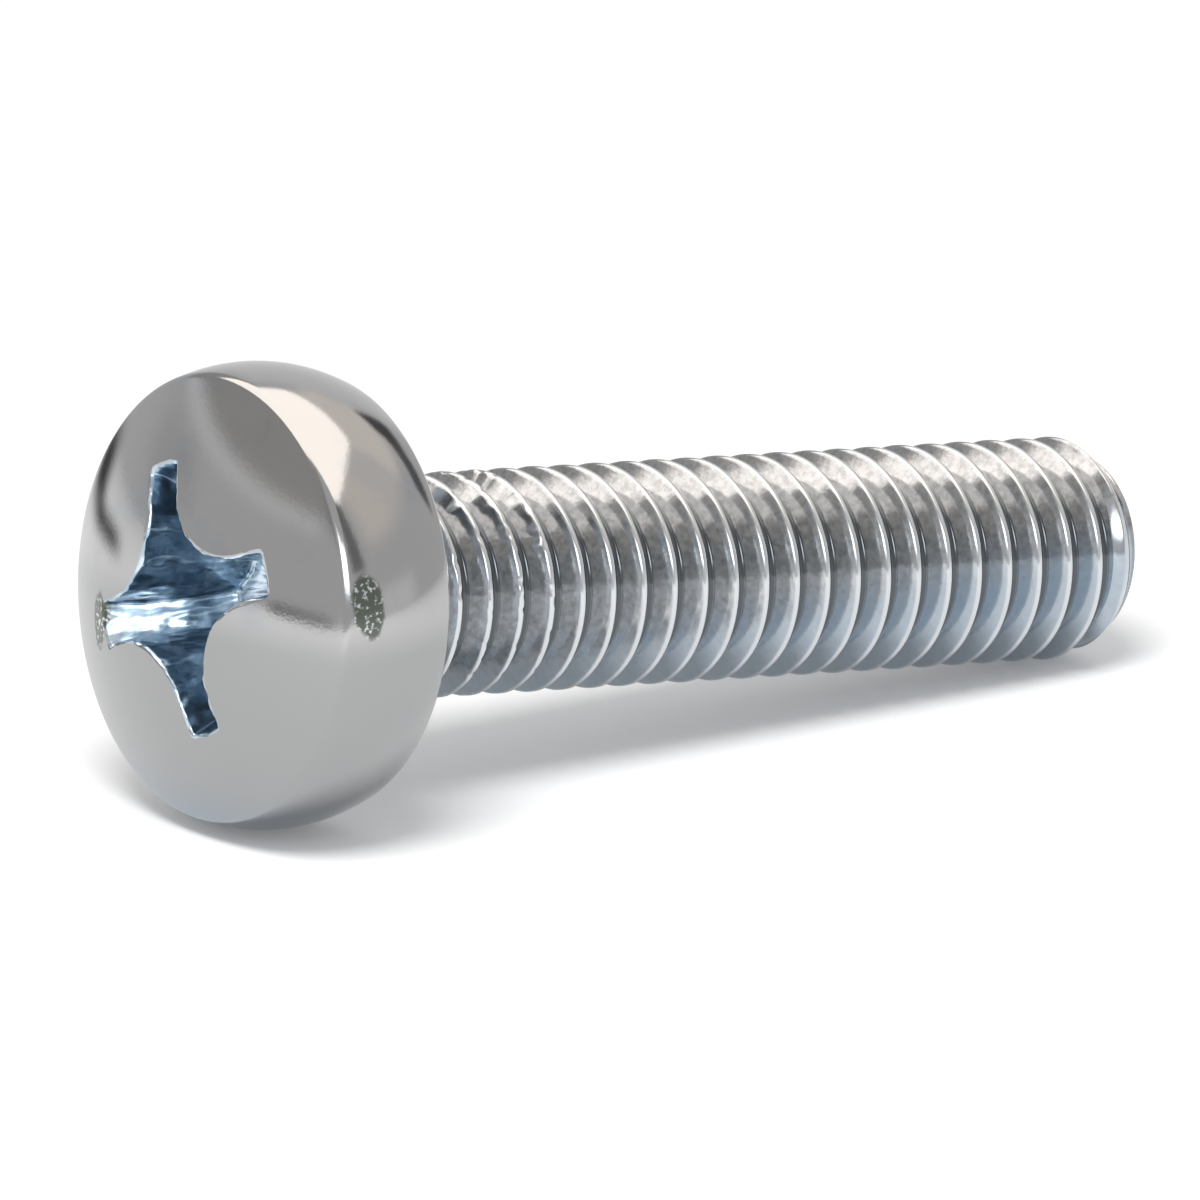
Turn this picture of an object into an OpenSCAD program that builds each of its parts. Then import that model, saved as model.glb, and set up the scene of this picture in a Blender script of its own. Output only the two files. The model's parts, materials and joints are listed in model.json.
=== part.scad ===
// Pan head machine screw with a cross recess, forged and thread rolled in one piece.
// It lies on Z = 0, resting on the side of its head and on the thread near its tip.
// +X runs from the head to the tip. The thread is drawn as the plain body over its crests.

/* [Shank] */
// Diameter over the thread crests
thread_d = 5.85; // [4:0.05:8]
// Length from the bearing face to the tip
length = 25; // [12:1:60]
// How much smaller the neck under the head is than the crests
neck_step = 0.55; // [0.2:0.05:0.8]
// Length of the neck under the head
neck_l = 0.5; // [0.4:0.05:2]
// Length of the cone from the neck to the crests
runout_l = 0.5; // [0.2:0.05:2]
// Radius of the fillet between the neck and the bearing face
neck_fillet_r = 0.35; // [0.1:0.05:0.4]
// Length of the tapered tip
tip_l = 1; // [0.5:0.05:2]
// How much the tip taper takes off the radius
tip_depth = 0.65; // [0.3:0.05:1]
// Radius of the edge around the tip face
tip_edge_r = 0.25; // [0.1:0.05:0.3]

/* [Head] */
// Largest diameter of the head
head_d = 12.1; // [9:0.1:18]
// Height of the head at its middle
head_h = 4.9; // [3.9:0.1:7]
// Radius of the domed top
dome_r = 13; // [10:0.5:30]
// Radius of the bulging side, seen in section
side_r = 4.5; // [4:0.25:10]
// Height of the widest place above the bearing face
side_h = 2; // [1:0.1:2.2]
// Radius of the shoulder between the side and the dome
shoulder_r = 0.3; // [0.2:0.05:1]
// Radius of the rim between the side and the bearing face
rim_r = 0.35; // [0.1:0.05:0.6]

/* [Cross recess] */
// Diameter across two opposite wings where they meet the dome
recess_d = 7.05; // [5:0.05:8]
// Depth of the wings below that place
recess_depth = 3.2; // [2:0.1:3.6]
// Width of a wing near its end
wing_w = 1.1; // [0.7:0.05:1.5]
// Slope of the wing sides from upright
wing_draft = 3; // [1:0.5:5]
// Slope of the wing ends from upright
end_taper = 26.5; // [20:0.5:28]
// Radius of the corner between two wings
corner_r = 2.1; // [1:0.1:2.5]
// Radius of the cone at the bottom
core_r = 1.2; // [0.6:0.1:1.4]
// Slope of the cone at the bottom
floor_slope = 28; // [15:1:35]
// Turn of the recess about the axis of the screw
recess_roll = 23.7; // [0:0.1:89.9]

/* [Hidden] */
$fn = 96;
thread_r = thread_d / 2;
neck_r = thread_r - neck_step / 2;
head_r = head_d / 2;

// How far one shape runs into another where they join or cut
overlap = 1;
cone_overlap = 0.05;

// Straight steps in a long and a short arc of a section, and flats around a recess corner
long_steps = 8;
short_steps = 4;
flats = 4;

// Centres of the arcs of the head in section: [distance from the axis, height]
side_c = [head_r - side_r, side_h];
dome_c = [0, head_h - dome_r];
rim_c = [side_c[0] + sqrt((side_r - rim_r) ^ 2 - (side_h - rim_r) ^ 2), rim_r];

// The shoulder arc lies inside the side and the dome and touches both
centre_gap = norm(dome_c - side_c);
along = ((side_r - shoulder_r) ^ 2 - (dome_r - shoulder_r) ^ 2 + centre_gap ^ 2) / (2 * centre_gap);
across = sqrt((side_r - shoulder_r) ^ 2 - along ^ 2);
to_dome = (dome_c - side_c) / centre_gap;
shoulder_c = side_c + along * to_dome + across * [-to_dome[1], to_dome[0]];

// Recess sizes, with heights above its floor plane
recess_z = dome_c[1] + sqrt(dome_r ^ 2 - (recess_d / 2) ^ 2) - recess_depth;
recess_top = recess_depth + overlap;
floor_r = recess_d / 2 - recess_depth * tan(end_taper);
corner_c = wing_w / 2 + corner_r;

// The floor touches the side arc of the head and the end of the crests
reach = side_h + length - tip_l;
rise = side_c[0] - thread_r;
tilt = atan2(rise, reach) + asin(side_r / norm([reach, rise]));
bearing_z = side_r + side_c[0] * cos(tilt) - side_h * sin(tilt);

// The ends along X, for an origin midway between them
tip_face_r = thread_r - tip_depth;
tip_c = [tip_face_r - tip_edge_r, tip_edge_r - length];
head_end = -dome_c[1] * cos(tilt) - dome_r;
tip_end = -tip_c[1] * cos(tilt) + tip_c[0] * sin(tilt) + tip_edge_r;
bearing_x = -(head_end + tip_end) / 2;

function half_wing(z) = wing_w / 2 - (recess_depth - z) * tan(wing_draft);
function direction(v) = atan2(v[1], v[0]);

// Points on an arc, from one direction to another
function arc(centre, r, from, to, steps) =
    [for (i = [0:steps]) let (a = from + (to - from) * i / steps) centre + r * [cos(a), sin(a)]];

// Half of the section of the head, from its middle to the bearing face
module head_section() {
    shoulder_start = direction(shoulder_c - dome_c);
    shoulder_end = direction(shoulder_c - side_c);
    side_end = direction(rim_c - side_c);
    polygon(concat(
        arc(dome_c, dome_r, 90, shoulder_start, long_steps),
        arc(shoulder_c, shoulder_r, shoulder_start, shoulder_end, short_steps),
        arc(side_c, side_r, shoulder_end, side_end, long_steps),
        arc(rim_c, rim_r, side_end, -90, short_steps),
        [[0, 0]]
    ));
}

// Half of the section of the shank, from inside the head to the tip
module shank_section() {
    taper = direction([tip_l, tip_depth]);
    polygon(concat(
        [[0, overlap], [neck_r + neck_fillet_r, overlap]],
        arc([neck_r + neck_fillet_r, -neck_fillet_r], neck_fillet_r, 90, 180, short_steps),
        [[neck_r, -neck_l], [thread_r, -neck_l - runout_l], [thread_r, tip_l - length]],
        arc(tip_c, tip_edge_r, -taper, -90, short_steps),
        [[0, -length]]
    ));
}

// Metal between two wings, with flats around its corner that lean with the wing sides
module web() {
    translate([corner_c, corner_c, 0]) intersection_for (turn = [180:90 / flats:270])
        rotate([90, 0, turn]) translate([0, 0, -head_r]) linear_extrude(head_d)
            polygon([
                [-head_r, 0],
                [corner_c - half_wing(0), 0],
                [corner_c - half_wing(recess_top), recess_top],
                [-head_r, recess_top]
            ]);
}

module recess() {
    cone_h = core_r * tan(floor_slope);
    translate([0, 0, recess_z]) rotate([0, 0, recess_roll]) {
        difference() {
            cylinder(h = recess_top, r1 = floor_r, r2 = floor_r + recess_top * tan(end_taper));
            for (turn = [0:90:270]) rotate([0, 0, turn]) web();
        }
        translate([0, 0, -cone_h])
            cylinder(h = cone_h + cone_overlap, r1 = 0, r2 = core_r + cone_overlap / tan(floor_slope));
    }
}

// The screw about its own axis: head above the bearing face, shank below it
module upright_screw() {
    difference() {
        union() {
            rotate_extrude() head_section();
            rotate_extrude() shank_section();
        }
        recess();
    }
}

module screw() {
    color("silver")
        translate([bearing_x, 0, bearing_z]) rotate([0, tilt - 90, 0]) upright_screw();
}

screw();
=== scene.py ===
import json
import math

import bpy
import numpy as np
from mathutils import Matrix, Vector, noise

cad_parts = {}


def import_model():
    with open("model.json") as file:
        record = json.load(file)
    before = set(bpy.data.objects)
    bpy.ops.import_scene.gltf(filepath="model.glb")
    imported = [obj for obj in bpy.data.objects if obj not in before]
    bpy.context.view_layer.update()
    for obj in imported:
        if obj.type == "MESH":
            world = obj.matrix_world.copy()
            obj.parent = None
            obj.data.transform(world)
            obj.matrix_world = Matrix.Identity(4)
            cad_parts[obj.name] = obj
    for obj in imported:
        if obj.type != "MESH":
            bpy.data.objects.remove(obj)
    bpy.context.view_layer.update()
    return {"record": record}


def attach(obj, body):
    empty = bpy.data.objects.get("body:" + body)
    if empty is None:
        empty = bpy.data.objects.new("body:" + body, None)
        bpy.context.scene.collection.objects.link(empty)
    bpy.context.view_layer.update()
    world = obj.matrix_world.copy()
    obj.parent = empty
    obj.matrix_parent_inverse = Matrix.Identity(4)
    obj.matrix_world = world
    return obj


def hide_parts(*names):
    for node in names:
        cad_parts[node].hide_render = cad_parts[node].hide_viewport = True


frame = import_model()

MM = 0.001
mounts = {mount["name"]: mount for mount in frame["record"]["mounts"]}

# Sizes of the screw in millimetres, with heights above the bearing face of the head
THREAD_R = mounts["thread"]["dims"]["r_mm"]
LENGTH = 25.0
NECK_R = THREAD_R - 0.275
NECK_L = 0.5
NECK_FILLET_R = 0.35
TIP_L = 1.0
TIP_DEPTH = 0.65
TIP_EDGE_R = 0.25
HEAD_R = 6.05
HEAD_H = 4.9
DOME_R = 13.0
SIDE_R = 4.5
SIDE_H = 2.0
SHOULDER_R = 0.3
RIM_R = 0.35

# Cross recess
RECESS_R = 3.525
RECESS_DEPTH = 3.2
WING_W = 1.1
WING_DRAFT = math.radians(3.0)
END_TAPER = math.radians(26.5)
CORNER_R = 2.1
CORE_R = 1.2
FLOOR_SLOPE = math.radians(28.0)
RECESS_ROLL = math.radians(23.7)
WING_EDGE = 0.035
LIP = 0.12
FLOOR_FILLET = 0.15

# Thread
PITCH = 1.0
ROOT_R = 2.384
CREST_FLAT = PITCH / 8
FLANK_SLOPE = math.tan(math.radians(60.0))
CREST_ROUND = 0.016
ROOT_ROUND = 0.018
THREAD_PHASE = 0.0
RUNOUT_L = 0.9

# Mesh steps
HALF_WING_STEPS = 40
WING_END_STEPS = 8
AROUND_HEAD = 8 * HALF_WING_STEPS
AROUND_SHANK = AROUND_HEAD // 2


# Arcs and blends
def arc(centre, radius, start, end, steps):
    """Points on an arc in section, as (distance from the axis, height), after its first one."""
    angles = [start + (end - start) * i / steps for i in range(1, steps + 1)]
    return [(centre[0] + radius * math.cos(a), centre[1] + radius * math.sin(a)) for a in angles]


def direction(start, end):
    return math.atan2(end[1] - start[1], end[0] - start[0])


def smooth_min(a, b, size):
    return -size * np.logaddexp(-a / size, -b / size)


def smooth_step(x):
    x = np.clip(x, 0, 1)
    return x * x * (3 - 2 * x)


def polar(radius, angle, height):
    """Points at a distance from the axis, at an angle round it and at a height."""
    radius, angle, height = np.broadcast_arrays(radius, angle, height)
    return np.stack([radius * np.cos(angle), radius * np.sin(angle), height], axis=-1)


# Section of the head
side_c = (HEAD_R - SIDE_R, SIDE_H)
dome_c = (0.0, HEAD_H - DOME_R)
rim_c = (side_c[0] + math.sqrt((SIDE_R - RIM_R) ** 2 - (SIDE_H - RIM_R) ** 2), RIM_R)
centre_gap = math.dist(dome_c, side_c)
along = ((SIDE_R - SHOULDER_R) ** 2 - (DOME_R - SHOULDER_R) ** 2 + centre_gap ** 2) / (2 * centre_gap)
across = math.sqrt((SIDE_R - SHOULDER_R) ** 2 - along ** 2)
to_dome = ((dome_c[0] - side_c[0]) / centre_gap, (dome_c[1] - side_c[1]) / centre_gap)
shoulder_c = (
    side_c[0] + along * to_dome[0] - across * to_dome[1],
    side_c[1] + along * to_dome[1] + across * to_dome[0],
)
shoulder_start = direction(dome_c, shoulder_c)
shoulder_end = direction(side_c, shoulder_c)
dome_edge_r = DOME_R * math.cos(shoulder_start)
recess_z = dome_c[1] + math.sqrt(DOME_R ** 2 - RECESS_R ** 2) - RECESS_DEPTH


def dome_z(radius):
    return dome_c[1] + np.sqrt(DOME_R ** 2 - radius ** 2)


# Cross recess
def recess_radius(height, angles):
    """Distance from the axis to the wall of the recess, for angles from the middle of a wing up to 45 degrees."""
    half = WING_W / 2 - (RECESS_DEPTH - height) * math.tan(WING_DRAFT)
    end = RECESS_R - (RECESS_DEPTH - height) * math.tan(END_TAPER)
    corner = WING_W / 2 + CORNER_R
    middle = corner * (np.cos(angles) + np.sin(angles))
    under_root = middle ** 2 - 2 * corner ** 2 + (corner - half) ** 2
    straight = half / np.sin(angles)
    rounded = middle - np.sqrt(np.maximum(under_root, 0))
    side = np.where(straight * np.cos(angles) > corner, straight, rounded)
    return smooth_min(np.full_like(side, end), side, WING_EDGE), end, side


def half_wing(height):
    """Angles and distances of the outline from the middle of a wing to the diagonal, denser at the wing's end."""
    angles = np.linspace(1e-4, math.pi / 4, 3000)
    radius, end, side = recess_radius(height, angles)
    x, y = radius * np.cos(angles), radius * np.sin(angles)
    length = np.concatenate([[0], np.cumsum(np.hypot(np.diff(x), np.diff(y)))])
    corner_length = length[np.argmin(np.abs(side - end))]
    knots = [0, WING_END_STEPS, HALF_WING_STEPS]
    wanted = np.interp(np.arange(HALF_WING_STEPS + 1), knots, [0, corner_length, length[-1]])
    return np.interp(wanted, length, angles), np.interp(wanted, length, radius)


def whole_outline(height):
    """Angles and distances of the recess outline all round, starting at the middle of a wing."""
    angles, radius = half_wing(height)
    angles[0] = 0
    wing_angles = np.concatenate([angles, math.pi / 2 - angles[-2:0:-1]])
    wing_radius = np.concatenate([radius, radius[-2:0:-1]])
    turns = [wing_angles + i * math.pi / 2 for i in range(4)]
    return np.concatenate(turns), np.tile(wing_radius, 4)


def recess_wall(rows):
    """Rings of the recess wall from its floor to the dome, as arrays of angle, distance and height."""
    levels = np.linspace(0, HEAD_H - recess_z, 10)
    outlines = [whole_outline(level) for level in levels]
    level_angles = np.array([outline[0] for outline in outlines])
    level_radii = np.array([outline[1] for outline in outlines])

    def at(heights):
        columns = range(AROUND_HEAD)
        angle = np.array([np.interp(heights[i], levels, level_angles[:, i]) for i in columns])
        radius = np.array([np.interp(heights[i], levels, level_radii[:, i]) for i in columns])
        return angle, radius

    top = np.full(AROUND_HEAD, RECESS_DEPTH)
    for _ in range(8):
        top = dome_z(at(top)[1]) - recess_z
    rings = []
    for i in range(rows + 1):
        heights = top * i / rows
        angle, radius = at(heights)
        rings.append(polar(radius, angle, heights + recess_z))
    return rings


def outward(ring):
    """Unit directions in plan that point away from the outline of a ring."""
    along_ring = np.roll(ring, -1, axis=0) - np.roll(ring, 1, axis=0)
    normal = np.stack([along_ring[:, 1], -along_ring[:, 0], np.zeros(len(ring))], axis=-1)
    return normal / np.linalg.norm(normal, axis=1)[:, None]


def fillet(before, corner, after, steps):
    """Rings of a rounded edge that starts at one ring, bends at the next and ends at the last."""
    rings = []
    for i in range(steps + 1):
        t = i / steps
        rings.append((1 - t) ** 2 * before + 2 * t * (1 - t) * corner + t ** 2 * after)
    return rings


def recess_rings():
    """Rings from the middle of the recess floor to the lip on the dome."""
    wall = recess_wall(20)
    foot, edge = wall[0], wall[-1]
    foot_angle = np.arctan2(foot[:, 1], foot[:, 0])
    cone_h = CORE_R * math.tan(FLOOR_SLOPE)
    rings = []
    for i in range(1, 7):
        share = i / 6
        rings.append(polar(CORE_R * share, foot_angle, recess_z - cone_h * (1 - share)))
    away = outward(foot)
    up_wall = (wall[1] - foot) / np.linalg.norm(wall[1] - foot, axis=1)[:, None]
    rings += fillet(foot - FLOOR_FILLET * away, foot, foot + FLOOR_FILLET * up_wall, 4)
    rings += wall[1:-1]
    down_wall = (wall[-2] - edge) / np.linalg.norm(wall[-2] - edge, axis=1)[:, None]
    on_dome = edge + LIP * outward(edge)
    on_dome[:, 2] = dome_z(np.hypot(on_dome[:, 0], on_dome[:, 1]))
    rings += fillet(edge + LIP * down_wall, edge, on_dome, 5)
    return rings


def dome_rings(lip, steps):
    """Rings of the dome from the recess lip to its round edge."""
    lip_radius = np.hypot(lip[:, 0], lip[:, 1])
    lip_angle = np.unwrap(np.arctan2(lip[:, 1], lip[:, 0]))
    even_angle = np.arange(AROUND_HEAD) * 2 * math.pi / AROUND_HEAD
    rings = []
    for i in range(1, steps + 1):
        share = (i / steps) ** 1.3
        radius = lip_radius + (dome_edge_r - lip_radius) * share
        angle = lip_angle + (even_angle - lip_angle) * smooth_step(share)
        rings.append(polar(radius, angle, dome_z(radius)))
    return rings


def outer_rings():
    """Round rings from the shoulder of the head to the neck."""
    neck_fillet_c = (NECK_R + NECK_FILLET_R, -NECK_FILLET_R)
    section = arc(shoulder_c, SHOULDER_R, shoulder_start, shoulder_end, 10)
    section += arc(side_c, SIDE_R, shoulder_end, direction(side_c, rim_c), 20)
    section += arc(rim_c, RIM_R, direction(side_c, rim_c), -math.pi / 2, 6)
    section += [(radius, 0.0) for radius in (5.2, 4.5, 3.8, 3.3, NECK_R + NECK_FILLET_R)]
    section += arc(neck_fillet_c, NECK_FILLET_R, math.pi / 2, math.pi, 5)
    angle = np.arange(AROUND_HEAD) * 2 * math.pi / AROUND_HEAD
    return [polar(radius, angle, height) for radius, height in section]


# Thread
def thread_radius(angle, height):
    """Distance from the axis to the surface of the shank."""
    phase = (height - PITCH * angle / (2 * math.pi)) / PITCH + THREAD_PHASE
    from_crest = np.abs(phase - np.round(phase)) * PITCH
    flank = THREAD_R - (from_crest - CREST_FLAT / 2) * FLANK_SLOPE
    radius = smooth_min(np.full_like(flank, THREAD_R), flank, CREST_ROUND)
    radius = -smooth_min(-radius, np.full_like(radius, -ROOT_R), ROOT_ROUND)
    grown = smooth_step((-height - NECK_L) / RUNOUT_L)
    radius = NECK_R + (radius - NECK_R) * grown
    taper = THREAD_R - (TIP_L - (LENGTH + height)) * TIP_DEPTH / TIP_L
    return smooth_min(radius, np.where(height < -LENGTH + 1.5 * TIP_L, taper, THREAD_R + 1), ROOT_ROUND)


ROWS = np.array([-0.09, -0.0625, -0.035, 0.035, 0.0625, 0.09, 0.12, 0.33, 0.36, 0.39, 0.61, 0.64, 0.67, 0.88]) * PITCH
THREAD_TOP = -NECK_L
THREAD_BOTTOM = -LENGTH + 0.15 * TIP_L


class Shell:
    """Points and faces of one closed surface, in millimetres about the axis of the screw."""

    def __init__(self):
        self.points = []
        self.faces = []
        self.in_recess = 0

    def add_ring(self, ring):
        start = len(self.points)
        self.points.extend(ring)
        return list(range(start, len(self.points)))

    def join(self, inner, outer):
        count = len(inner)
        for i in range(count):
            j = (i + 1) % count
            self.faces.append((inner[i], outer[i], outer[j], inner[j]))

    def join_half(self, fine, coarse):
        """Joins a ring to one with half as many points."""
        count = len(coarse)
        for i in range(count):
            j = (i + 1) % count
            self.faces.append((fine[2 * i], coarse[i], coarse[j], fine[2 * j], fine[2 * i + 1]))

    def close(self, ring, centre, outward_up):
        middle = len(self.points)
        self.points.append(centre)
        for i in range(len(ring)):
            j = (i + 1) % len(ring)
            face = (middle, ring[i], ring[j])
            self.faces.append(face if outward_up else face[::-1])

    def add_thread(self, top_ring, bottom_ring):
        """A helical strip of faces between two flat rings, whose points close it off."""
        around = len(top_ring)
        turns = int((THREAD_TOP - THREAD_BOTTOM) / PITCH) + 4
        steps = np.arange(turns * around)
        angle = -steps * 2 * math.pi / around
        rows = len(ROWS)
        start = (math.ceil(THREAD_TOP / PITCH + 1.5 + THREAD_PHASE) - THREAD_PHASE) * PITCH
        height = start - PITCH * steps[:, None] / around - ROWS[None, :]
        radius = thread_radius(angle[:, None], height)
        grid = polar(radius, angle[:, None], height)
        snap = 0.2 * PITCH / rows
        numbers = np.empty(height.shape, int)
        for i in range(len(steps)):
            column = (-i) % around
            for k in range(rows):
                if height[i, k] > THREAD_TOP - snap:
                    numbers[i, k] = top_ring[column]
                elif height[i, k] < THREAD_BOTTOM + snap:
                    numbers[i, k] = bottom_ring[column]
                else:
                    numbers[i, k] = len(self.points)
                    self.points.append(grid[i, k])
        for i in range(len(steps) - around - 1):
            for k in range(rows):
                below = (i, k + 1) if k + 1 < rows else (i + around, 0)
                a, b = numbers[i, k], numbers[i + 1, k]
                c, d = numbers[below[0] + 1, below[1]], numbers[below]
                loop = [a, b, c, d]
                loop = [loop[m] for m in range(4) if loop[m] != loop[m - 1]]
                if len(set(loop)) == len(loop) and len(loop) > 2:
                    self.faces.append(tuple(loop))


def screw_shell():
    shell = Shell()
    head = recess_rings()
    shell.in_recess = (len(head) - 2) * AROUND_HEAD
    head += dome_rings(head[-1], 26)
    head += outer_rings()
    first = shell.add_ring(head[0])
    previous = first
    for ring in head[1:]:
        numbers = shell.add_ring(ring)
        shell.join(previous, numbers)
        previous = numbers
    shell.close(first, np.array([0, 0, recess_z - CORE_R * math.tan(FLOOR_SLOPE)]), True)
    angle = np.arange(AROUND_SHANK) * 2 * math.pi / AROUND_SHANK
    top_ring = shell.add_ring(polar(NECK_R, angle, THREAD_TOP))
    shell.join_half(previous, top_ring)
    bottom_r = float(thread_radius(np.array([0.0]), np.array([THREAD_BOTTOM]))[0])
    bottom_ring = shell.add_ring(polar(bottom_r, angle, THREAD_BOTTOM))
    shell.add_thread(top_ring, bottom_ring)
    tip_c = (THREAD_R - TIP_DEPTH - TIP_EDGE_R, -LENGTH + TIP_EDGE_R)
    taper = math.atan2(TIP_DEPTH, TIP_L)
    section = arc(tip_c, TIP_EDGE_R, -taper, -math.pi / 2, 6)
    section += [(tip_c[0] * share, -LENGTH) for share in (0.85, 0.6, 0.35, 0.12)]
    previous = bottom_ring
    for radius, height in section:
        numbers = shell.add_ring(polar(radius, angle, height))
        shell.join(previous, numbers)
        previous = numbers
    shell.close(previous, np.array([0, 0, -LENGTH]), False)
    return shell


# Marks that making and handling left, in millimetres
LUMP = 0.05
LUMP_SIZE = 0.5
FINE_LUMP = 0.03
FINE_LUMP_SIZE = 0.17
WAVE = 0.012
WAVE_SIZE = 1.3
NICK = 0.05
NICK_SIZE = 0.22
NICK_ZONE = (-6.2, -1.6)


def noise_at(points, size, seed):
    return np.array([noise.noise(Vector(p) / size + Vector((seed, 0, 0))) for p in points])


def wear(points, in_recess):
    """Lumps in the recess, and waves and nicks along the crests of the thread."""
    inside = points[:in_recess].copy()
    for size, depth in ((LUMP_SIZE, LUMP), (FINE_LUMP_SIZE, FINE_LUMP)):
        points[:in_recess] += depth * np.array([noise.noise_vector(Vector(p) / size) for p in inside])
    thread = np.flatnonzero((points[:, 2] < THREAD_TOP - 0.01) & (points[:, 2] > -LENGTH + TIP_L))
    radius = np.hypot(points[thread, 0], points[thread, 1])
    crest = smooth_step((radius - ROOT_R) / (THREAD_R - ROOT_R))
    height = points[thread, 2]
    zone = smooth_step(height - NICK_ZONE[0]) * smooth_step(NICK_ZONE[1] - height)
    worn = WAVE * (0.6 + noise_at(points[thread], WAVE_SIZE, 3.7))
    worn += NICK * zone * smooth_step(2.5 * noise_at(points[thread], NICK_SIZE, 9.1) - 0.5)
    points[thread, :2] *= (1 - worn * crest / radius)[:, None]


# Place of the screw in the frame
def placement():
    """Matrix from millimetres about the axis of the screw to metres in the frame."""
    towards_tip = Vector(mounts["seat"]["axis"])
    centre = Vector(mounts["seat"]["pos_m"])
    centre.y = 0
    z_axis = -towards_tip
    y_axis = Vector((0, 1, 0))
    x_axis = y_axis.cross(z_axis)
    turn = Matrix((x_axis, y_axis, z_axis)).transposed().to_4x4()
    return Matrix.Translation(centre) @ turn @ Matrix.Rotation(RECESS_ROLL, 4, "Z") @ Matrix.Scale(MM, 4)


def screw_object():
    shell = screw_shell()
    points = np.array(shell.points)
    worn_points = points.copy()
    wear(worn_points, shell.in_recess)
    mesh = bpy.data.meshes.new("screw_body")
    mesh.from_pydata(worn_points.tolist(), [], shell.faces)
    mesh.transform(placement())
    on_thread = points[:, 2] < THREAD_TOP
    on_tip = points[:, 2] < -LENGTH + TIP_L / 2
    depth = (THREAD_R - np.hypot(points[:, 0], points[:, 1])) / (THREAD_R - ROOT_R)
    marks = {
        "recess": np.arange(len(points)) < shell.in_recess,
        "thread": points[:, 2] < -0.1,
        # The bearing face, which the material paints pale as painted light
        "seat": np.abs(points[:, 2]) < 0.01,
        # How deep each point lies in the thread groove; the material paints the crest highlight and the root shade
        # from it
        "depth": np.where(on_tip, 0.5, np.clip(depth, 0, 1) * on_thread),
    }
    for name, value in marks.items():
        mesh.attributes.new(name, "FLOAT", "POINT").data.foreach_set("value", value.astype(np.float32))
    mesh.shade_smooth()
    body = bpy.data.objects.new("screw_body", mesh)
    bpy.context.scene.collection.objects.link(body)
    return body


class Nodes:
    """Adds nodes to one node tree and links them."""

    def __init__(self, tree):
        self.tree = tree

    def add(self, kind, inputs=(), **settings):
        """A node whose inputs, by name or number, are set to a value or linked to a socket."""
        made = self.tree.nodes.new(kind)
        for name, value in settings.items():
            setattr(made, name, value)
        for name, value in dict(inputs).items():
            if isinstance(value, bpy.types.NodeSocket):
                self.tree.links.new(value, made.inputs[name])
            else:
                made.inputs[name].default_value = value
        return made

    def math(self, operation, *values):
        return self.add("ShaderNodeMath", enumerate(values), operation=operation).outputs[0]

    def mix(self, share, first, second):
        """A colour between two colours."""
        made = self.add("ShaderNodeMix", {0: share, 6: first, 7: second}, data_type="RGBA")
        return made.outputs[2]

    def rise(self, value, low, high):
        """0 below one value and 1 above another, with a smooth step between."""
        inputs = {"Value": value, "From Min": low, "From Max": high}
        made = self.add("ShaderNodeMapRange", inputs, interpolation_type="SMOOTHSTEP")
        return made.outputs[0]

    def noise(self, vector, scale, detail=2.0, roughness=0.5):
        inputs = {"Vector": vector, "Scale": scale, "Detail": detail, "Roughness": roughness}
        return self.add("ShaderNodeTexNoise", inputs).outputs[0]


def new_material(name):
    """An empty node material, its nodes and its output."""
    material = bpy.data.materials.new(name)
    material.use_nodes = True
    material.node_tree.nodes.clear()
    nodes = Nodes(material.node_tree)
    return material, nodes, nodes.add("ShaderNodeOutputMaterial")


PER_MM = 1 / MM

# Pitted spots on the side of the head and at the end of a wing: centre and half size in metres
PIT_SPOTS = [
    ((-0.01286, -0.00585, 0.0072), (0.00042, 0.002, 0.00082)),
    ((-0.01448, 0.0036, 0.005), (0.0005, 0.0004, 0.00075)),
]
HEAD_COLOUR = (0.44, 0.438, 0.437, 1)
THREAD_COLOUR = (0.485, 0.497, 0.512, 1)
THREAD_SHADE = (0.36, 0.37, 0.38, 1)
# Painted light: the bearing face under the head is painted pale and bluish, much paler than the head, so that the
# thread's flanks that reflect it read lighter
SEAT_PAINTED_LIGHT = (0.67, 0.72, 0.77, 1)
SEAT_PAINTED_LIGHT_DIM = (0.52, 0.57, 0.61, 1)
# Painted highlight: the crests of the thread are painted paler than the flanks so that they read as bright lines; the
# pale ground between the pits below reuses this colour
CREST_COLOUR = (0.62, 0.64, 0.66, 1)
# Painted shade: the roots of the thread are painted almost black, for the shade deep in the groove
ROOT_SHADE_PAINT = (0.1, 0.11, 0.12, 1)
# The recess has the plating's own blue tint, and both its tones are painted paler than the head as painted light that
# lifts it out of its shade
RECESS_COLOUR = (0.62, 0.72, 0.81, 1)
RECESS_SHADE = (0.38, 0.48, 0.57, 1)
HEAD_TINT = (0.4, 0.41, 0.43, 1)
# Painted shade: the head is painted darker in its lower part
LOWER_HEAD_SHADE_PAINT = (0.34, 0.342, 0.345, 1)
# Painted shade: the head is painted darker and bluish where it comes down to the floor, for the shaded floor it
# reflects
FOOT_SHADE_PAINT = (0.3, 0.335, 0.37, 1)
# Painted reflection: the lower side of the thread is painted bluish, for the shaded floor its flanks reflect
LOW_THREAD_REFLECTION_PAINT = (0.42, 0.49, 0.56, 1)
PIT_COLOUR = (0.13, 0.145, 0.125, 1)


def pit_share(nodes, place):
    """1 inside the pitted spots and 0 outside them."""
    distances = []
    for centre, half in PIT_SPOTS:
        scale = [1 / size for size in half]
        offset = [-middle / size for middle, size in zip(centre, half)]
        spot = nodes.add("ShaderNodeMapping", {"Vector": place, "Location": offset, "Scale": scale})
        length = nodes.add("ShaderNodeVectorMath", {0: spot.outputs[0]}, operation="LENGTH")
        distances.append(length.outputs["Value"])
    nearest = nodes.math("MINIMUM", *distances)
    ragged = nodes.math("ADD", nearest, nodes.math("MULTIPLY", nodes.noise(place, 2 * PER_MM), 0.5))
    return nodes.rise(ragged, 1.35, 1.1)


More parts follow.
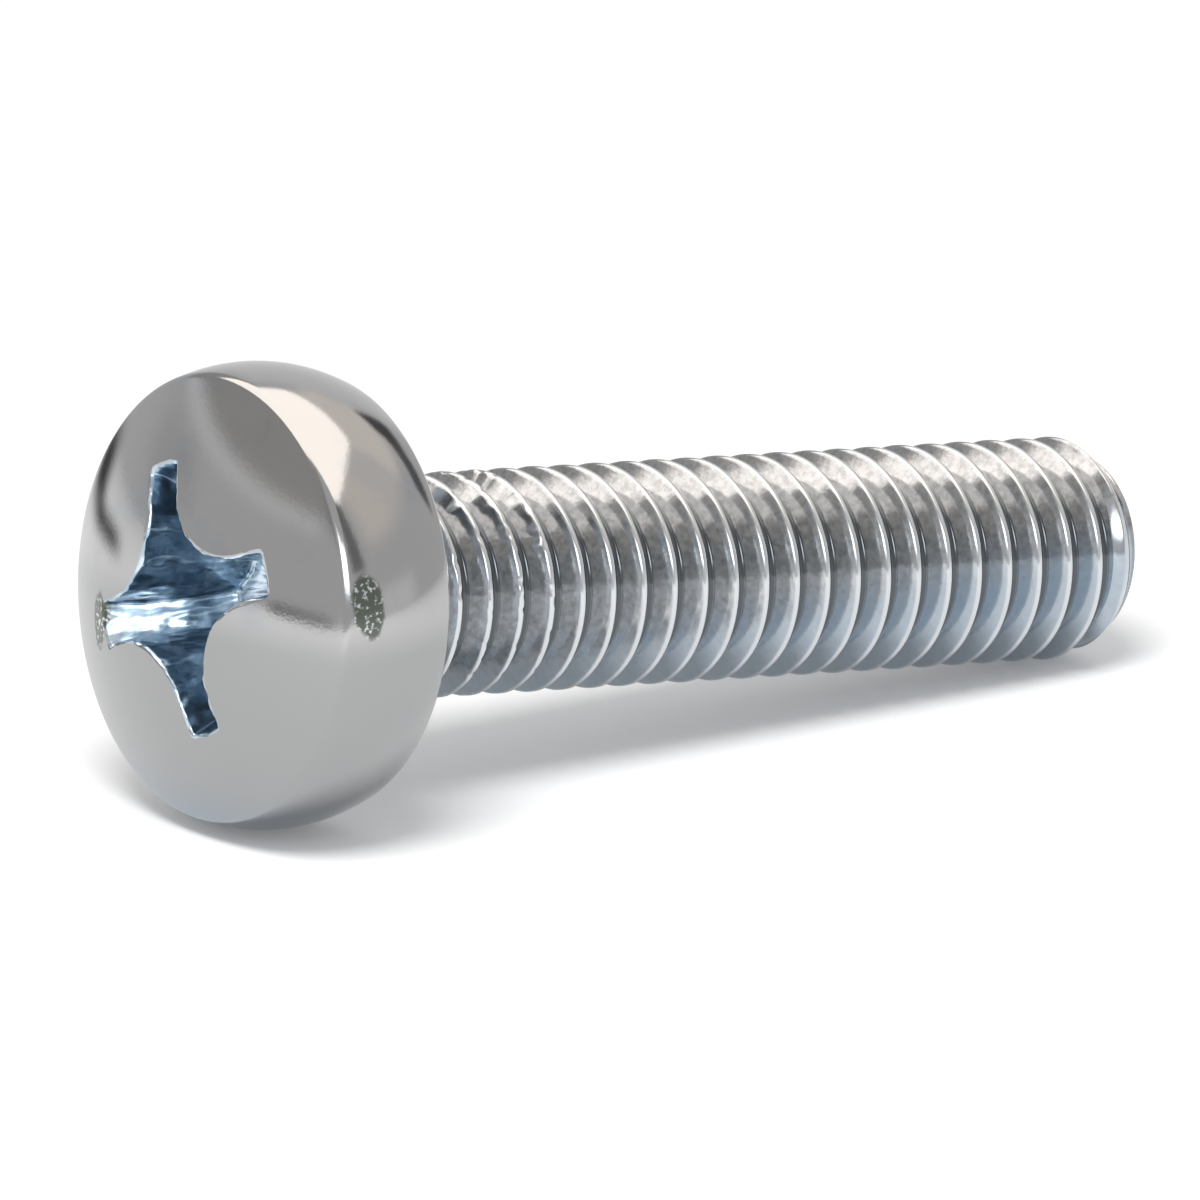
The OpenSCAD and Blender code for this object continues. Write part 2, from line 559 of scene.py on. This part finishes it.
def zinc_material():
    material, nodes, output = new_material("bright_zinc")
    place = nodes.add("ShaderNodeTexCoord").outputs["Object"]
    height = nodes.add("ShaderNodeSeparateXYZ", {0: place}).outputs["Z"]
    recess = nodes.add("ShaderNodeAttribute", attribute_name="recess").outputs["Fac"]
    thread = nodes.add("ShaderNodeAttribute", attribute_name="thread").outputs["Fac"]
    depth = nodes.add("ShaderNodeAttribute", attribute_name="depth").outputs["Fac"]
    seat = nodes.add("ShaderNodeAttribute", attribute_name="seat").outputs["Fac"]
    mottle = nodes.rise(nodes.noise(place, 5 * PER_MM, 3, 0.6), 0.3, 0.62)
    flank = nodes.mix(mottle, THREAD_SHADE, THREAD_COLOUR)
    # Painted reflection: the thread turns bluish below 4.6 mm above the floor, three quarters of the way below 2.6 mm
    low = nodes.math("MULTIPLY", nodes.rise(height, 4.6 * MM, 2.6 * MM), 0.75)
    flank = nodes.mix(low, flank, LOW_THREAD_REFLECTION_PAINT)
    # Painted highlight: the crests, least deep in the groove, take the pale crest colour
    groove = nodes.mix(nodes.rise(depth, 0.0, 0.1), CREST_COLOUR, flank)
    # Painted shade: the deepest part of each groove takes the dark root colour
    groove = nodes.mix(nodes.rise(depth, 0.86, 1.0), groove, ROOT_SHADE_PAINT)
    stain = nodes.rise(nodes.noise(place, 0.45 * PER_MM, 4, 0.6), 0.48, 0.66)
    head = nodes.mix(stain, HEAD_COLOUR, HEAD_TINT)
    # Painted shade: the head darkens below 6.8 mm above the floor, fully below 5.6 mm
    head = nodes.mix(nodes.rise(height, 6.8 * MM, 5.6 * MM), head, LOWER_HEAD_SHADE_PAINT)
    # Painted shade: darker bluish colour on the head below 2.2 mm above the floor, fully below 0.2 mm
    head = nodes.mix(nodes.rise(height, 2.2 * MM, 0.2 * MM), head, FOOT_SHADE_PAINT)
    # Painted light: the bearing face takes a mottle between its two pale painted tones
    under = nodes.mix(mottle, SEAT_PAINTED_LIGHT_DIM, SEAT_PAINTED_LIGHT)
    colour = nodes.mix(seat, nodes.mix(thread, head, groove), under)
    blotch = nodes.rise(nodes.noise(place, 1.6 * PER_MM, 2), 0.4, 0.6)
    # Blue plating tint and painted light: the recess takes pale blue tones with blotches
    colour = nodes.mix(recess, colour, nodes.mix(blotch, RECESS_SHADE, RECESS_COLOUR))
    pitted = pit_share(nodes, place)
    pits = nodes.rise(nodes.noise(place, 7 * PER_MM, 2), 0.54, 0.66)
    colour = nodes.mix(pitted, colour, nodes.mix(pits, PIT_COLOUR, CREST_COLOUR))
    cloud = nodes.noise(place, 0.35 * PER_MM, 3)
    roughness = nodes.math("ADD", nodes.math("MULTIPLY", cloud, 0.08), 0.06)
    roughness = nodes.math("ADD", roughness, nodes.math("MULTIPLY", thread, 0.03))
    roughness = nodes.math("ADD", roughness, nodes.math("MULTIPLY", recess, 0.1))
    roughness = nodes.math("ADD", roughness, nodes.math("MULTIPLY", pitted, 0.12))
    grain = nodes.math("MULTIPLY", nodes.noise(place, 9 * PER_MM, 3), nodes.math("SUBTRACT", 1.0, recess))
    grain = nodes.math("ADD", grain, nodes.math("MULTIPLY", nodes.math("MULTIPLY", pits, pitted), 18.0))
    bump = nodes.add("ShaderNodeBump", {"Height": grain, "Strength": 0.06, "Distance": 0.02 * MM})
    shader = nodes.add("ShaderNodeBsdfPrincipled", {
        "Base Color": colour, "Metallic": 1.0, "Roughness": roughness, "Normal": bump.outputs[0],
    })
    nodes.tree.links.new(shader.outputs[0], output.inputs["Surface"])
    return material


# Floor, light and camera
def stage_object(name, points, faces, material):
    mesh = bpy.data.meshes.new(name)
    mesh.from_pydata(points, [], faces)
    mesh.materials.append(material)
    made = bpy.data.objects.new(name, mesh)
    bpy.context.scene.collection.objects.link(made)
    return made


def seen_ray(nodes):
    """1 for rays that come from the camera or off metal or glass, and 0 for the light on the floor."""
    path = nodes.add("ShaderNodeLightPath").outputs
    seen = nodes.math("MAXIMUM", path["Is Camera Ray"], path["Is Glossy Ray"])
    return nodes.math("MAXIMUM", seen, path["Is Transmission Ray"])


FLOOR_HALF = 3.0
FLOOR_COLOUR = (0.9, 0.9, 0.9, 1)
FLOOR_GLOW = 0.14


def floor():
    material, nodes, output = new_material("white_floor")
    matt = nodes.add("ShaderNodeBsdfDiffuse", {"Color": FLOOR_COLOUR})
    strength = nodes.math("MULTIPLY", seen_ray(nodes), FLOOR_GLOW)
    glow = nodes.add("ShaderNodeEmission", {"Strength": strength})
    both = nodes.add("ShaderNodeAddShader", {0: matt.outputs[0], 1: glow.outputs[0]})
    nodes.tree.links.new(both.outputs[0], output.inputs["Surface"])
    half = FLOOR_HALF
    corners = [(-half, -half, 0), (half, -half, 0), (half, half, 0), (-half, half, 0)]
    stage_object("floor", corners, [(0, 1, 2, 3)], material)


HEAD_CENTRE = (0.5 * (mounts["seat"]["pos_m"][0] + mounts["recess"]["pos_m"][0]), 0, mounts["seat"]["pos_m"][2])
TENT_R = 0.6
NEUTRAL = (1.0, 1.0, 1.0)
WARM = (1.0, 0.93, 0.86)
FAINT = (1.0, 0.975, 0.95)
COOL = (0.93, 0.97, 1.0)
WALL = 0.66

# What the head reflects, in degrees: centre (azimuth from the view, elevation), half size, softness, slant,
# then colour and strength
TENT = [
    ((-72, 45), (62, 26), (16, 5), 0, FAINT, 0.46),
    ((-86, 17.3), (33, 1.6), (10, 3.2), 0, NEUTRAL, 0.82),
    ((-65, 9), (10, 5), (14, 7), 0, NEUTRAL, 0.56),
    ((-124, 24), (6, 6), (8, 8), 0, NEUTRAL, 0.38),
    ((80, 46), (40, 16), (20, 12), 0, WARM, 0.9),
    ((35, 45), (25, 14), (12, 8), 0, WARM, 1.0),
    ((107, 4), (14, 6), (14, 8), 0, NEUTRAL, 0.86),
    ((133, 38), (5, 17), (4, 6), 0, NEUTRAL, 0.22),
    ((8, 14), (16, 24), (10, 8), 0, NEUTRAL, 0.82),
    ((41, 22), (13, 4.5), (4, 3), -0.5, NEUTRAL, 0.14),
    ((32, 25), (5, 6), (5, 5), 0, NEUTRAL, 0.1),
    ((178, 25), (26, 9), (10, 10), 0, COOL, 4.5),
]

# Bright box overhead: its sides in plan, as shares of its height, to the left and right, near and far,
# and how far out and at what slant its far right corner is cut off
BOX_SIDES = (-1.345, 0.6)
BOX_ENDS = (-0.45, 1.02)
BOX_CORNER = 0.96
BOX_CUT = 0.85
BOX_SOFT = 0.035
BOX_STRENGTH = 2.2

# Cards near the head, three dark and one bright: name, distance and patch
FLAGS = [
    ("near_flag", 0.04, ((-37, 0), (4.4, 4.6), (7, 6), 0, NEUTRAL, 0.06)),
    ("foot_flag", 0.041, ((-46, -4.4), (8, 1.5), (8, 3.5), 0, NEUTRAL, 0.1)),
    ("low_flag", 0.2, ((-117, -0.8), (9, 1.4), (6, 1.6), 0, NEUTRAL, 0.2)),
    ("low_card", 0.05, ((182, -9), (20, 2.5), (12, 4), 0, COOL, 1.9)),
]


def cover(azimuth, elevation, patch):
    """How much of each direction a patch covers, from 0 to 1."""
    centre, half, soft, slant = patch[:4]
    turn = (azimuth - centre[0] + 180) % 360 - 180
    rise = elevation - centre[1] - slant * turn
    side = (half[0] - np.abs(turn)) / soft[0]
    level = (half[1] - np.abs(rise)) / soft[1]
    return smooth_step(side + 0.5) * smooth_step(level + 0.5)


def box_cover(azimuth, elevation):
    """How much of each direction the lamp box covers."""
    reach = 1 / np.tan(np.radians(np.maximum(elevation, 1)))
    right, away = reach * np.sin(np.radians(azimuth)), reach * np.cos(np.radians(azimuth))
    side = np.minimum(right - BOX_SIDES[0], BOX_SIDES[1] - right) / BOX_SOFT
    end = np.minimum(away - BOX_ENDS[0], BOX_ENDS[1] - away) / BOX_SOFT
    corner = (BOX_CORNER - right - BOX_CUT * away) / BOX_SOFT
    return smooth_step(side + 0.5) * smooth_step(end + 0.5) * smooth_step(corner + 0.5)


def tent_light(azimuth, elevation):
    """Colour and cover of the tent in each direction."""
    light = np.ones((*azimuth.shape, 4))
    light[..., :3] = np.array(NEUTRAL) * WALL
    shares = [(cover(azimuth, elevation, patch), patch[4], patch[5]) for patch in TENT]
    shares.append((box_cover(azimuth, elevation), WARM, BOX_STRENGTH))
    for share, colour, strength in shares:
        share = share[..., None]
        light[..., :3] = light[..., :3] * (1 - share) + share * strength * np.array(colour)
    return light


def flag_light(azimuth, elevation, patch):
    light = np.ones((*azimuth.shape, 4))
    light[..., :3] = np.array(patch[4]) * patch[5]
    light[..., 3] = cover(azimuth, elevation, patch)
    return light


def glow_material():
    material, nodes, output = new_material("tent_glow")
    light = nodes.add("ShaderNodeAttribute", attribute_name="light").outputs
    glow = nodes.add("ShaderNodeEmission", {"Color": light["Color"]})
    clear = nodes.add("ShaderNodeBsdfTransparent")
    both = nodes.add("ShaderNodeMixShader", {0: light["Alpha"], 1: clear.outputs[0], 2: glow.outputs[0]})
    nodes.tree.links.new(both.outputs[0], output.inputs["Surface"])
    material.cycles.emission_sampling = "NONE"
    return material


def glow_surface(name, distance, azimuth, elevation, light, material):
    """Part of a sphere round the head that lights the metal alone: only its reflections are seen."""
    turn, rise = np.radians(azimuth) + VIEW_AZIMUTH, np.radians(elevation)
    points = polar(distance * np.cos(rise), math.pi / 2 - turn, distance * np.sin(rise)) + np.array(HEAD_CENTRE)
    rows, columns = azimuth.shape
    faces = []
    for i in range(rows - 1):
        for k in range(columns - 1):
            start = i * columns + k
            faces.append((start, start + columns, start + columns + 1, start + 1))
    made = stage_object(name, points.reshape(-1, 3).tolist(), faces, material)
    made.data.color_attributes.new("light", "FLOAT_COLOR", "POINT").data.foreach_set("color", light.ravel())
    made.visible_camera = False
    made.visible_diffuse = False
    made.visible_shadow = False


def tent():
    material = glow_material()
    azimuth, elevation = np.meshgrid(np.arange(-180, 181), np.arange(-4, 90.5, 0.8))
    glow_surface("tent", TENT_R, azimuth, elevation, tent_light(azimuth, elevation), material)
    for name, distance, patch in FLAGS:
        span = [np.linspace(-1, 1, 25) * (patch[1][i] + patch[2][i] / 2) + patch[0][i] for i in (0, 1)]
        azimuth, elevation = np.meshgrid(*span)
        glow_surface(name, distance, azimuth, elevation, flag_light(azimuth, elevation, patch), material)


LAMP_HEIGHT = 0.3

# Lamps for the floor: name, place right of and beyond the screw as shares of the height, size, power in watts
LAMPS = [
    ("near_lamp", -0.15, -0.6, 0.6, 1.05),
]


def lamps():
    """Soft lamps that light the floor; the tent stands for them in the metal."""
    turn = Matrix.Rotation(-VIEW_AZIMUTH, 4, "Z")
    for name, right, beyond, size, power in LAMPS:
        data = bpy.data.lights.new(name, "AREA")
        data.shape = "DISK"
        data.size = size * LAMP_HEIGHT
        data.energy = power
        made = bpy.data.objects.new(name, data)
        made.matrix_world = turn @ Matrix.Translation(LAMP_HEIGHT * Vector((right, beyond, 1)))
        made.visible_glossy = False
        bpy.context.scene.collection.objects.link(made)


VIEW_AZIMUTH = math.radians(36.933)
VIEW_DIP = math.radians(15.944)
VIEW_DISTANCE = 0.9
FOCAL_PX = 34697.1
IMAGE_PX = 1200
SHIFT_RIGHT = -0.855 * MM
SHIFT_UP = -1.114 * MM


def camera():
    look = Vector((
        math.sin(VIEW_AZIMUTH) * math.cos(VIEW_DIP),
        math.cos(VIEW_AZIMUTH) * math.cos(VIEW_DIP),
        -math.sin(VIEW_DIP),
    ))
    right = look.cross(Vector((0, 0, 1))).normalized()
    up = right.cross(look)
    target = Vector((0, 0, 0.005)) + SHIFT_RIGHT * right + SHIFT_UP * up
    data = bpy.data.cameras.new("camera")
    data.sensor_width = 36
    data.lens = FOCAL_PX * data.sensor_width / IMAGE_PX
    eye = bpy.data.objects.new("camera", data)
    eye.location = target - VIEW_DISTANCE * look
    eye.rotation_euler = look.to_track_quat("-Z", "Y").to_euler()
    bpy.context.scene.collection.objects.link(eye)
    bpy.context.scene.camera = eye


SOFT_LIGHT = 0.58


def world():
    made = bpy.data.worlds.new("studio")
    made.use_nodes = True
    nodes = Nodes(made.node_tree)
    background = made.node_tree.nodes["Background"]
    background.inputs["Color"].default_value = (1, 1, 1, 1)
    strength = nodes.math("ADD", nodes.math("MULTIPLY", seen_ray(nodes), 1 - SOFT_LIGHT), SOFT_LIGHT)
    made.node_tree.links.new(strength, background.inputs["Strength"])
    bpy.context.scene.world = made


body = screw_object()
body.data.materials.append(zinc_material())
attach(body, "root")
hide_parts("screw")
floor()
tent()
lamps()
camera()
world()
bpy.context.scene.view_settings.view_transform = "Standard"
